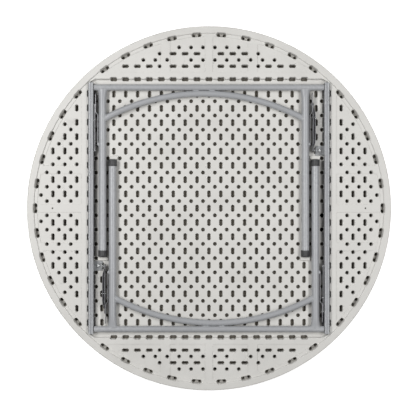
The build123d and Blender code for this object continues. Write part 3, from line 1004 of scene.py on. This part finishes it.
def make_foot(end, side, sign):
    """Ribbed plastic cap with a rounded sole and a lip at its mouth."""
    name = f"{end}_{side}"
    middle, half = box_middle(f"{name}_foot")
    radius = half.x
    sole = middle.y - sign * half.y
    sole_steps = ((0, -2.4), (0.25, -1.2), (0.9, -0.45), (2.2, 0.0), (4.6, 0.0))
    rib_steps = ((5.2, -0.5), (20.8, -0.5))
    mouth_steps = ((21.4, 0.0), (25.4, 0.0), (26.4, -0.35), (27, -1.2))
    count = foot_ribs * 8
    points, faces, rings = [], [], []
    for along, grow in sole_steps + rib_steps + mouth_steps:
        ribbed = (along, grow) in rib_steps
        y = sole + sign * along * MM
        ring = []
        for k in range(count):
            a = TAU * k / count
            dip = rib_depth if ribbed and k % 8 in (0, 1, 2) else 0.0
            size = radius + grow * MM - dip
            ring.append(Vector((middle.x + size * math.cos(a), y, hinge_z + size * math.sin(a))))
        rings.append(ring)
    loft(points, faces, rings)
    body = f"{end}_leg_frame"
    nodes = [f"{name}_foot"]
    finish_piece(f"{name}_foot_cap", points, faces, body, foot_plastic, "foot_plastic", nodes)


def make_hinge_tube(end):
    """Cross tube that the leg frame turns on, open at both ends."""
    middle, half = box_middle(f"{end}_hinge_tube")
    bore = hinge_radius - tube_wall
    points, faces, rings = [], [], []
    steps = [
        (-half.x + 18 * MM, bore),
        (-half.x + 0.4 * MM, bore),
        (-half.x, bore + 0.4 * MM),
        (-half.x, hinge_radius - 0.4 * MM),
        (-half.x + 0.4 * MM, hinge_radius),
        (-half.x / 3, hinge_radius),
    ]
    for x, size in steps + [(-x, size) for x, size in reversed(steps)]:
        rings.append(ring_points(Vector((x, middle.y, hinge_z)), y_axis, z_axis, size, size, 40))
    loft(points, faces, rings)
    finish_painted(f"{end}_cross_tube", points, faces, f"{end}_leg_frame", f"{end}_hinge_tube")


def make_arch(end, sign):
    """Bowed stiffening tube with its welds to the legs and to the cross tube."""
    left, leg_half = box_middle(f"{end}_left_leg")
    right = box_middle(f"{end}_right_leg")[0]
    centre = (left.x + right.x) / 2
    low_end, high_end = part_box(f"{end}_arch_tube")
    radius = (high_end.z - low_end.z) / 2
    half_pitch = (right.x - left.x) / 2
    crown = hinge_y - hinge_radius - radius - arch_gap
    foot_y = hinge_y - arch_foot
    rise = crown - foot_y
    span = half_pitch - leg_half.x
    bow = (span**2 + rise**2) / (2 * rise)

    def on_arc(x, grow=0.0):
        return sign * (crown - bow + math.sqrt((bow + grow) ** 2 - x**2))

    xs = [half_pitch * 0.985 * (2 * k / 72 - 1) for k in range(73)]
    points, faces = [], []
    sweep_tube(points, faces, [Vector((centre + x, on_arc(x), hinge_z)) for x in xs], radius, 32)
    finish_painted(f"{end}_bowed_tube", points, faces, f"{end}_leg_frame", f"{end}_arch_tube")
    points, faces = [], []
    for side_sign in (-1, 1):
        path = []
        for k in range(44):
            a = TAU * k / 44
            z = radius * math.sin(a)
            x = half_pitch - math.sqrt(leg_half.x**2 - z**2) - 0.2 * MM
            y = on_arc(x, radius * math.cos(a))
            path.append(Vector((centre + side_sign * x, y, hinge_z + z)))
        add_bead(points, faces, path, arch_weld, side_sign, True)
    y = sign * (hinge_y - hinge_radius)
    for offset in (-crown_weld_place[0], crown_weld_place[0]):
        for height in (-1, 1):
            z = hinge_z + height * crown_weld_place[1]
            starts = [centre + offset + crown_weld[0] * (k / 15 - 0.5) for k in range(16)]
            path = [Vector((x, y, z)) for x in starts]
            add_bead(points, faces, path, crown_weld[1], offset * 90 + height, False)
    finish_weld(f"{end}_bowed_tube_welds", points, faces, f"{end}_leg_frame")


def make_rail(side):
    """Pressed channel: rolled corners, a shallow groove along its web and open ends."""
    a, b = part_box(f"rail_{side}")
    middle, half = (a + b) / 2, (b - a) / 2
    wall, bend, groove = rail_wall, rail_bend, rail_groove
    profile = [(-half.x, a.z)]
    profile += arc_steps((-half.x + bend, b.z - bend), bend, 180, 90, 6)
    low = b.z - groove
    profile += [(-2.2 * MM, b.z), (-0.9 * MM, low), (0.9 * MM, low), (2.2 * MM, b.z)]
    profile += arc_steps((half.x - bend, b.z - bend), bend, 90, 0, 6)
    profile += [(half.x, a.z), (half.x - wall, a.z)]
    inner = bend - wall
    profile += arc_steps((half.x - bend, b.z - bend), inner, 0, 90, 4)
    web = b.z - wall
    low = web - groove
    profile += [(2.6 * MM, web), (1.5 * MM, low), (-1.5 * MM, low), (-2.6 * MM, web)]
    profile += arc_steps((-half.x + bend, b.z - bend), inner, 90, 180, 4)
    profile.append((-half.x + wall, a.z))
    points, faces = [], []
    count = 9
    rings = []
    for k in range(count):
        y = a.y + (b.y - a.y) * k / (count - 1)
        rings.append([Vector((middle.x + x, y, z)) for x, z in profile])
    loft(points, faces, rings)
    finish_painted(f"{side}_channel", points, faces, "top_assembly", f"rail_{side}")


for end, sign in frames.items():
    make_hinge_tube(end)
    make_arch(end, sign)
    for side in sides:
        make_leg(end, side, sign)
        make_foot(end, side, sign)
for side in sides:
    make_rail(side)


# ---------------------------------------------------------------- folding braces
channel_depth = 10.5 * MM  # pressed channel of the braces that stand clear of the rail
ring_wire = 1.75 * MM
ring_reach = 4.2 * MM  # lock ring past the channel's outer flange
bar_edge = 0.5 * MM
ring_corner = 3 * MM
channel_end = ((0.0, 0.35), (0.012, 0.62), (0.03, 0.85), (0.055, 0.98), (0.09, 1.0))
channel_swell = ((0.17, 0.75), (0.24, 1.0), (0.5, 1.0), (0.76, 1.0), (0.83, 0.75))
channel_stations = [(share, tall, 0.0) for share, tall in channel_end]  # place, height, depth
channel_stations += [(share, 1.0, deep) for share, deep in channel_swell]
channel_stations += [(share, tall, 0.0) for share, tall in (
    (0.91, 1.0), (0.945, 0.98), (0.97, 0.85), (0.988, 0.62), (1.0, 0.35))]


def make_channel(end, side, sign, out):
    """Upper link of a wide brace: a pressed channel that narrows to its pivot by the bracket."""
    name = f"{end}_{side}"
    a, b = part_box(f"{name}_upper_link")
    inner = a.x if out > 0 else b.x
    wall = b.x - a.x
    pivot_end, far_end = (a.y, b.y) if sign > 0 else (b.y, a.y)
    middle_z = (a.z + b.z) / 2
    edge = bar_edge
    points, faces, rings = [], [], []
    for share, tall, deep in channel_stations:
        y = pivot_end + (far_end - pivot_end) * share
        half = (b.z - a.z) / 2 * tall
        outer = wall + channel_depth * deep
        foot = min(1.5 * wall, half)
        flange = max(outer - wall, wall)
        crest = max(outer - edge, wall + edge)
        side_x = max(outer, wall + 2 * edge)
        shape = [(0, half - edge), (edge, half), (wall - edge, half), (wall, half - edge)]
        shape += [(wall, -half + foot), (flange, -half + foot)]
        shape += [(flange, half - edge - 0.01 * MM), (flange + edge, half), (crest, half)]
        shape += [(side_x, half - edge), (side_x, -half + edge), (max(outer - edge, wall), -half)]
        shape += [(edge, -half), (0, -half + edge)]
        rings.append([Vector((inner + out * x, y, middle_z + z)) for x, z in shape])
    loft(points, faces, rings)
    body = f"{name}_upper_brace"
    nodes = [f"{name}_upper_link"]
    finish_piece(f"{name}_upper_channel", points, faces, body, shade_darkened_zinc, "zinc_steel", nodes, 25)


def make_lock_ring(end, side, out, reach):
    """Bent wire loop that slides along the brace and locks it straight."""
    name = f"{end}_{side}"
    a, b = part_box(f"{name}_lock_ring")
    y = (a.y + b.y) / 2
    low_x, high_x = a.x + ring_wire, b.x - ring_wire
    if out > 0:
        high_x += reach
    else:
        low_x -= reach
    low_z, high_z = a.z + ring_wire, b.z - ring_wire
    corners = rectangle(low_x, high_x, low_z, high_z)
    path = [Vector((x, y, z)) for x, z in rounded(corners, ring_corner, 6)]
    full = []
    for k, place in enumerate(path):
        after = path[(k + 1) % len(path)]
        steps = max(1, int((after - place).length / (2.5 * MM)))
        full += [place.lerp(after, j / steps) for j in range(steps)]
    points, faces = [], []
    sweep_tube(points, faces, full, ring_wire, 16, True, y_axis)
    finish_piece(f"{name}_wire_ring", points, faces, f"{name}_ring", bright_zinc, "bright_zinc",
                 [f"{name}_lock_ring"])


for end, sign in frames.items():
    for side, out in sides.items():
        wide = f"{end}_{side}_bracket" in frame["nodes"]
        if wide:
            make_channel(end, side, sign, out)
        make_lock_ring(end, side, out, ring_reach + channel_depth - 4 * MM if wide else 0.0)

# ---------------------------------------------------------------- carried-over nodes
node_finish = {
    "moulded_top": moulded_top,
    "painted_steel": grey_coat,
    "foot_plastic": foot_plastic,
    "bush_plastic": bush_plastic,
    "bright_zinc": bright_zinc,
    "zinc_steel": shade_darkened_zinc,
    "bracket_steel": bracket_coat,
}
for part in frame["record"]["subparts"]:
    finishes = frame["nodes"][part["node"]].data.materials
    finishes.clear()
    finishes.append(node_finish[part["material_slot"]])


# ---------------------------------------------------------------- studio
def make_floor():
    """Pale floor that glows a little, so that the table throws no shadow on it."""
    size = 9.0
    corners = [(x, y, 0) for x, y in rectangle(-size, size, -size, size)]
    floor = make_object("floor", corners, [(0, 1, 2, 3)])
    floor.location.z = -0.5 * MM
    material, _, shader, _ = new_material("pale floor", (0.93, 0.93, 0.93), 0.9)
    shader.inputs["Emission Color"].default_value = (1, 1, 1, 1)
    shader.inputs["Emission Strength"].default_value = 0.55
    floor.data.materials.append(material)


def make_softbox(name, place, size, power):
    """Upright rectangular softbox, long along Y, aimed at the table."""
    lamp = bpy.data.lights.new(name, "AREA")
    lamp.shape = "RECTANGLE"
    lamp.size, lamp.size_y = size
    lamp.energy = power
    obj = bpy.data.objects.new(name, lamp)
    bpy.context.scene.collection.objects.link(obj)
    obj.location = place
    obj.rotation_euler.y = math.atan2(place[0], place[2])


def make_camera():
    """Square above the underside, far enough back for a nearly parallel view."""
    distance = 3.6
    view_width = 1.738  # what the picture takes in at the height of the rim
    camera = bpy.data.cameras.new("camera")
    camera.sensor_width = 36.0
    camera.lens = camera.sensor_width * distance / view_width
    obj = bpy.data.objects.new("camera", camera)
    bpy.context.scene.collection.objects.link(obj)
    obj.location = (-0.004, 0.001, rim_height + distance)
    bpy.context.scene.camera = obj


def make_studio():
    """Two tall softboxes, one each side, and a weak even fill."""
    world = bpy.data.worlds.new("studio")
    bpy.context.scene.world = world
    world.use_nodes = True
    world.node_tree.nodes["Background"].inputs["Color"].default_value = (1, 1, 1, 1)
    world.node_tree.nodes["Background"].inputs["Strength"].default_value = 0.16
    make_softbox("left softbox", (-1.75, 0.7, 3.0), (0.8, 2.6), 90)
    make_softbox("right softbox", (1.75, 0.1, 3.0), (0.8, 2.6), 62)
    scene = bpy.context.scene
    scene.view_settings.view_transform = "Standard"


make_floor()
make_camera()
make_studio()
